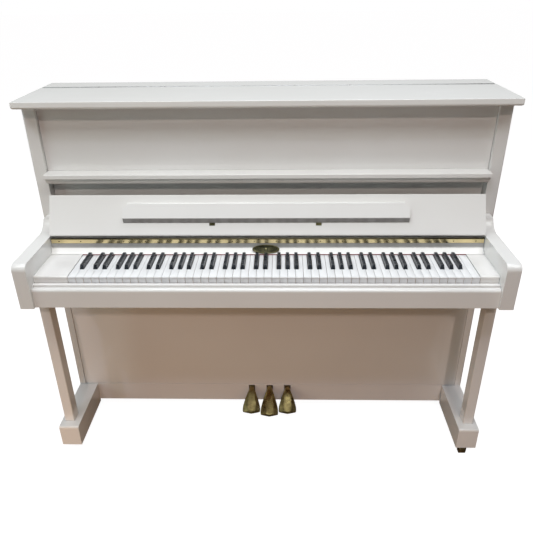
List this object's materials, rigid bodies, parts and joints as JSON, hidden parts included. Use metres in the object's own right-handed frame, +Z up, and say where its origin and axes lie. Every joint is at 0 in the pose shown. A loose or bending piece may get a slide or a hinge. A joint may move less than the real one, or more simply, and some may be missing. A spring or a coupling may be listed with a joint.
{
  "type": "upright piano",
  "caption": "Upright piano in gloss white with folding lid, fallboard with music desk, full keyboard, three brass pedals and front legs on castors.",
  "frame": {"origin": "on the floor under the centre of the bounding box", "axes": "+X to the player's right along the keyboard, +Y towards the back, +Z up"},
  "size_m": [1.508, 0.626, 1.2034],
  "materials": {
    "white_lacquer": "high-gloss white polyester lacquer on wood",
    "frame_wood": "plain sealed timber",
    "spruce": "varnished spruce",
    "gold_iron": "bronze-gold painted casting",
    "steel": "plain steel wire and pins",
    "brass": "polished brass, slightly aged",
    "antique_brass": "dull antique brass",
    "red_felt": "woven felt",
    "grey_felt": "thin felt on a strip",
    "hammer_felt": "pressed felt on maple",
    "cast_wheel": "dark cast wheel",
    "white_key": "gloss white key covering",
    "black_key": "satin black"
  },
  "bodies": {
    "case": {"side_panel_left": "white_lacquer", "side_panel_right": "white_lacquer", "arm_left": "white_lacquer", "arm_right": "white_lacquer", "key_blocks": "white_lacquer", "key_bed": "frame_wood", "key_bed_fascia": "white_lacquer", "key_slip": "white_lacquer", "legs": "white_lacquer", "toe_left": "white_lacquer", "toe_right": "white_lacquer", "upper_panel": "white_lacquer", "music_shelf": "white_lacquer", "recess_board": "white_lacquer", "lower_panel": "white_lacquer", "bottom_rail": "white_lacquer", "bottom_board": "frame_wood", "nameboard": "white_lacquer", "nameboard_felt": "red_felt", "name_badge": "antique_brass", "fallboard_hinge": "brass", "lid_rear": "white_lacquer", "lid_hinge": "steel", "back_frame": "frame_wood", "soundboard": "spruce", "iron_plate": "gold_iron", "tuning_pins": "steel", "strings": "steel", "key_frame": "frame_wood", "action_frame": "frame_wood", "castor_brackets_back": "brass"},
    "fallboard": {"fallboard": "white_lacquer", "music_desk_hinges": "antique_brass"},
    "fallboard_lip": {"fallboard_lip": "white_lacquer"},
    "music_desk": {"music_desk": "white_lacquer"},
    "lid_front": {"lid_front": "white_lacquer"},
    "keys_c": {"keys_c": "white_key"},
    "keys_c_sharp": {"keys_c_sharp": "black_key"},
    "keys_d": {"keys_d": "white_key"},
    "keys_d_sharp": {"keys_d_sharp": "black_key"},
    "keys_e": {"keys_e": "white_key"},
    "keys_f": {"keys_f": "white_key"},
    "keys_f_sharp": {"keys_f_sharp": "black_key"},
    "keys_g": {"keys_g": "white_key"},
    "keys_g_sharp": {"keys_g_sharp": "black_key"},
    "keys_a": {"keys_a": "white_key"},
    "keys_a_sharp": {"keys_a_sharp": "black_key"},
    "keys_b": {"keys_b": "white_key"},
    "pedal_left": {"pedal_left": "brass"},
    "pedal_middle": {"pedal_middle": "brass"},
    "pedal_right": {"pedal_right": "brass"},
    "hammers": {"hammers": "hammer_felt"},
    "dampers": {"dampers": "hammer_felt"},
    "muffler_rail": {"muffler_rail": "grey_felt"},
    "castor_fork_front_left": {"castor_fork_front_left": "brass"},
    "castor_wheel_front_left": {"castor_wheel_front_left": "brass"},
    "castor_fork_front_right": {"castor_fork_front_right": "brass"},
    "castor_wheel_front_right": {"castor_wheel_front_right": "brass"},
    "castor_wheel_back_left": {"castor_wheel_back_left": "cast_wheel"},
    "castor_wheel_back_right": {"castor_wheel_back_right": "cast_wheel"}
  },
  "joints": [
    {"name": "fallboard_hinge", "type": "hinge", "parent": "case", "child": "fallboard", "pos_m": [0, -0.104, 0.7896], "axis": [1, 0, 0], "range_deg": [0, 125.3]},
    {"name": "fallboard_lip_fold", "type": "hinge", "parent": "fallboard", "child": "fallboard_lip", "pos_m": [0, -0.02694, 0.90688], "axis": [1, 0, 0], "range_deg": [0, 212.5]},
    {"name": "music_desk_fold", "type": "hinge", "parent": "fallboard", "child": "music_desk", "pos_m": [0, -0.08802, 0.83551], "axis": [-1, 0, 0], "range_deg": [-100, 0]},
    {"name": "lid_hinge", "type": "hinge", "parent": "case", "child": "lid_front", "pos_m": [0, 0.213, 1.2022], "axis": [-1, 0, 0], "range_deg": [0, 178]},
    {"name": "keys_c_press", "type": "hinge", "parent": "case", "child": "keys_c", "pos_m": [0, -0.015, 0.7123], "axis": [1, 0, 0], "range_deg": [0, 2.2], "stiffness_Nm_per_rad": 20, "springref_deg": -6.3},
    {"name": "keys_c_sharp_press", "type": "hinge", "parent": "case", "child": "keys_c_sharp", "pos_m": [0, -0.015, 0.7123], "axis": [1, 0, 0], "range_deg": [0, 2.2], "stiffness_Nm_per_rad": 20, "springref_deg": -6.3},
    {"name": "keys_d_press", "type": "hinge", "parent": "case", "child": "keys_d", "pos_m": [0, -0.015, 0.7123], "axis": [1, 0, 0], "range_deg": [0, 2.2], "stiffness_Nm_per_rad": 20, "springref_deg": -6.3},
    {"name": "keys_d_sharp_press", "type": "hinge", "parent": "case", "child": "keys_d_sharp", "pos_m": [0, -0.015, 0.7123], "axis": [1, 0, 0], "range_deg": [0, 2.2], "stiffness_Nm_per_rad": 20, "springref_deg": -6.3},
    {"name": "keys_e_press", "type": "hinge", "parent": "case", "child": "keys_e", "pos_m": [0, -0.015, 0.7123], "axis": [1, 0, 0], "range_deg": [0, 2.2], "stiffness_Nm_per_rad": 20, "springref_deg": -6.3},
    {"name": "keys_f_press", "type": "hinge", "parent": "case", "child": "keys_f", "pos_m": [0, -0.015, 0.7123], "axis": [1, 0, 0], "range_deg": [0, 2.2], "stiffness_Nm_per_rad": 20, "springref_deg": -6.3},
    {"name": "keys_f_sharp_press", "type": "hinge", "parent": "case", "child": "keys_f_sharp", "pos_m": [0, -0.015, 0.7123], "axis": [1, 0, 0], "range_deg": [0, 2.2], "stiffness_Nm_per_rad": 20, "springref_deg": -6.3},
    {"name": "keys_g_press", "type": "hinge", "parent": "case", "child": "keys_g", "pos_m": [0, -0.015, 0.7123], "axis": [1, 0, 0], "range_deg": [0, 2.2], "stiffness_Nm_per_rad": 20, "springref_deg": -6.3},
    {"name": "keys_g_sharp_press", "type": "hinge", "parent": "case", "child": "keys_g_sharp", "pos_m": [0, -0.015, 0.7123], "axis": [1, 0, 0], "range_deg": [0, 2.2], "stiffness_Nm_per_rad": 20, "springref_deg": -6.3},
    {"name": "keys_a_press", "type": "hinge", "parent": "case", "child": "keys_a", "pos_m": [0, -0.015, 0.7123], "axis": [1, 0, 0], "range_deg": [0, 2.2], "stiffness_Nm_per_rad": 20, "springref_deg": -6.3},
    {"name": "keys_a_sharp_press", "type": "hinge", "parent": "case", "child": "keys_a_sharp", "pos_m": [0, -0.015, 0.7123], "axis": [1, 0, 0], "range_deg": [0, 2.2], "stiffness_Nm_per_rad": 20, "springref_deg": -6.3},
    {"name": "keys_b_press", "type": "hinge", "parent": "case", "child": "keys_b", "pos_m": [0, -0.015, 0.7123], "axis": [1, 0, 0], "range_deg": [0, 2.2], "stiffness_Nm_per_rad": 20, "springref_deg": -6.3},
    {"name": "pedal_left_press", "type": "hinge", "parent": "case", "child": "pedal_left", "pos_m": [-0.0655, 0.13, 0.086], "axis": [1, 0, 0], "range_deg": [0, 7], "stiffness_Nm_per_rad": 30, "springref_deg": -11.46},
    {"name": "pedal_middle_press", "type": "hinge", "parent": "case", "child": "pedal_middle", "pos_m": [0.0045, 0.13, 0.086], "axis": [1, 0, 0], "range_deg": [0, 7], "stiffness_Nm_per_rad": 30, "springref_deg": -11.46},
    {"name": "pedal_right_press", "type": "hinge", "parent": "case", "child": "pedal_right", "pos_m": [0.0745, 0.13, 0.086], "axis": [1, 0, 0], "range_deg": [0, 7], "stiffness_Nm_per_rad": 30, "springref_deg": -11.46},
    {"name": "hammer_rest_swing", "type": "hinge", "parent": "case", "child": "hammers", "pos_m": [0, 0.0905, 0.845], "axis": [-1, 0, 0], "range_deg": [0, 10]},
    {"name": "damper_lift", "type": "hinge", "parent": "case", "child": "dampers", "pos_m": [0, 0.135, 0.833], "axis": [1, 0, 0], "range_deg": [0, 5]},
    {"name": "muffler_drop", "type": "slide", "parent": "case", "child": "muffler_rail", "axis": [0, 0, -1], "range_m": [0, 0.0345]},
    {"name": "castor_swivel_front_left", "type": "hinge", "parent": "case", "child": "castor_fork_front_left", "pos_m": [-0.703, -0.205, 0.0271], "axis": [0, 0, 1], "continuous": true},
    {"name": "castor_roll_front_left", "type": "hinge", "parent": "castor_fork_front_left", "child": "castor_wheel_front_left", "pos_m": [-0.703, -0.189, 0.0125], "axis": [1, 0, 0], "continuous": true},
    {"name": "castor_swivel_front_right", "type": "hinge", "parent": "case", "child": "castor_fork_front_right", "pos_m": [0.703, -0.205, 0.0271], "axis": [0, 0, 1], "continuous": true},
    {"name": "castor_roll_front_right", "type": "hinge", "parent": "castor_fork_front_right", "child": "castor_wheel_front_right", "pos_m": [0.703, -0.221, 0.0125], "axis": [1, 0, 0], "continuous": true},
    {"name": "castor_roll_back_left", "type": "hinge", "parent": "case", "child": "castor_wheel_back_left", "pos_m": [-0.64, 0.262, 0.022], "axis": [1, 0, 0], "continuous": true},
    {"name": "castor_roll_back_right", "type": "hinge", "parent": "case", "child": "castor_wheel_back_right", "pos_m": [0.64, 0.262, 0.022], "axis": [1, 0, 0], "continuous": true}
  ],
  "couplings": [
    {"joint": "fallboard_lip_fold", "follows": "fallboard_hinge", "ratio": 1.6954},
    {"joint": "hammer_rest_swing", "follows": "pedal_left_press", "ratio": 1.428},
    {"joint": "damper_lift", "follows": "pedal_right_press", "ratio": 0.714},
    {"joint": "muffler_drop", "follows": "pedal_middle_press", "m_per_rad": 0.278}
  ]
}
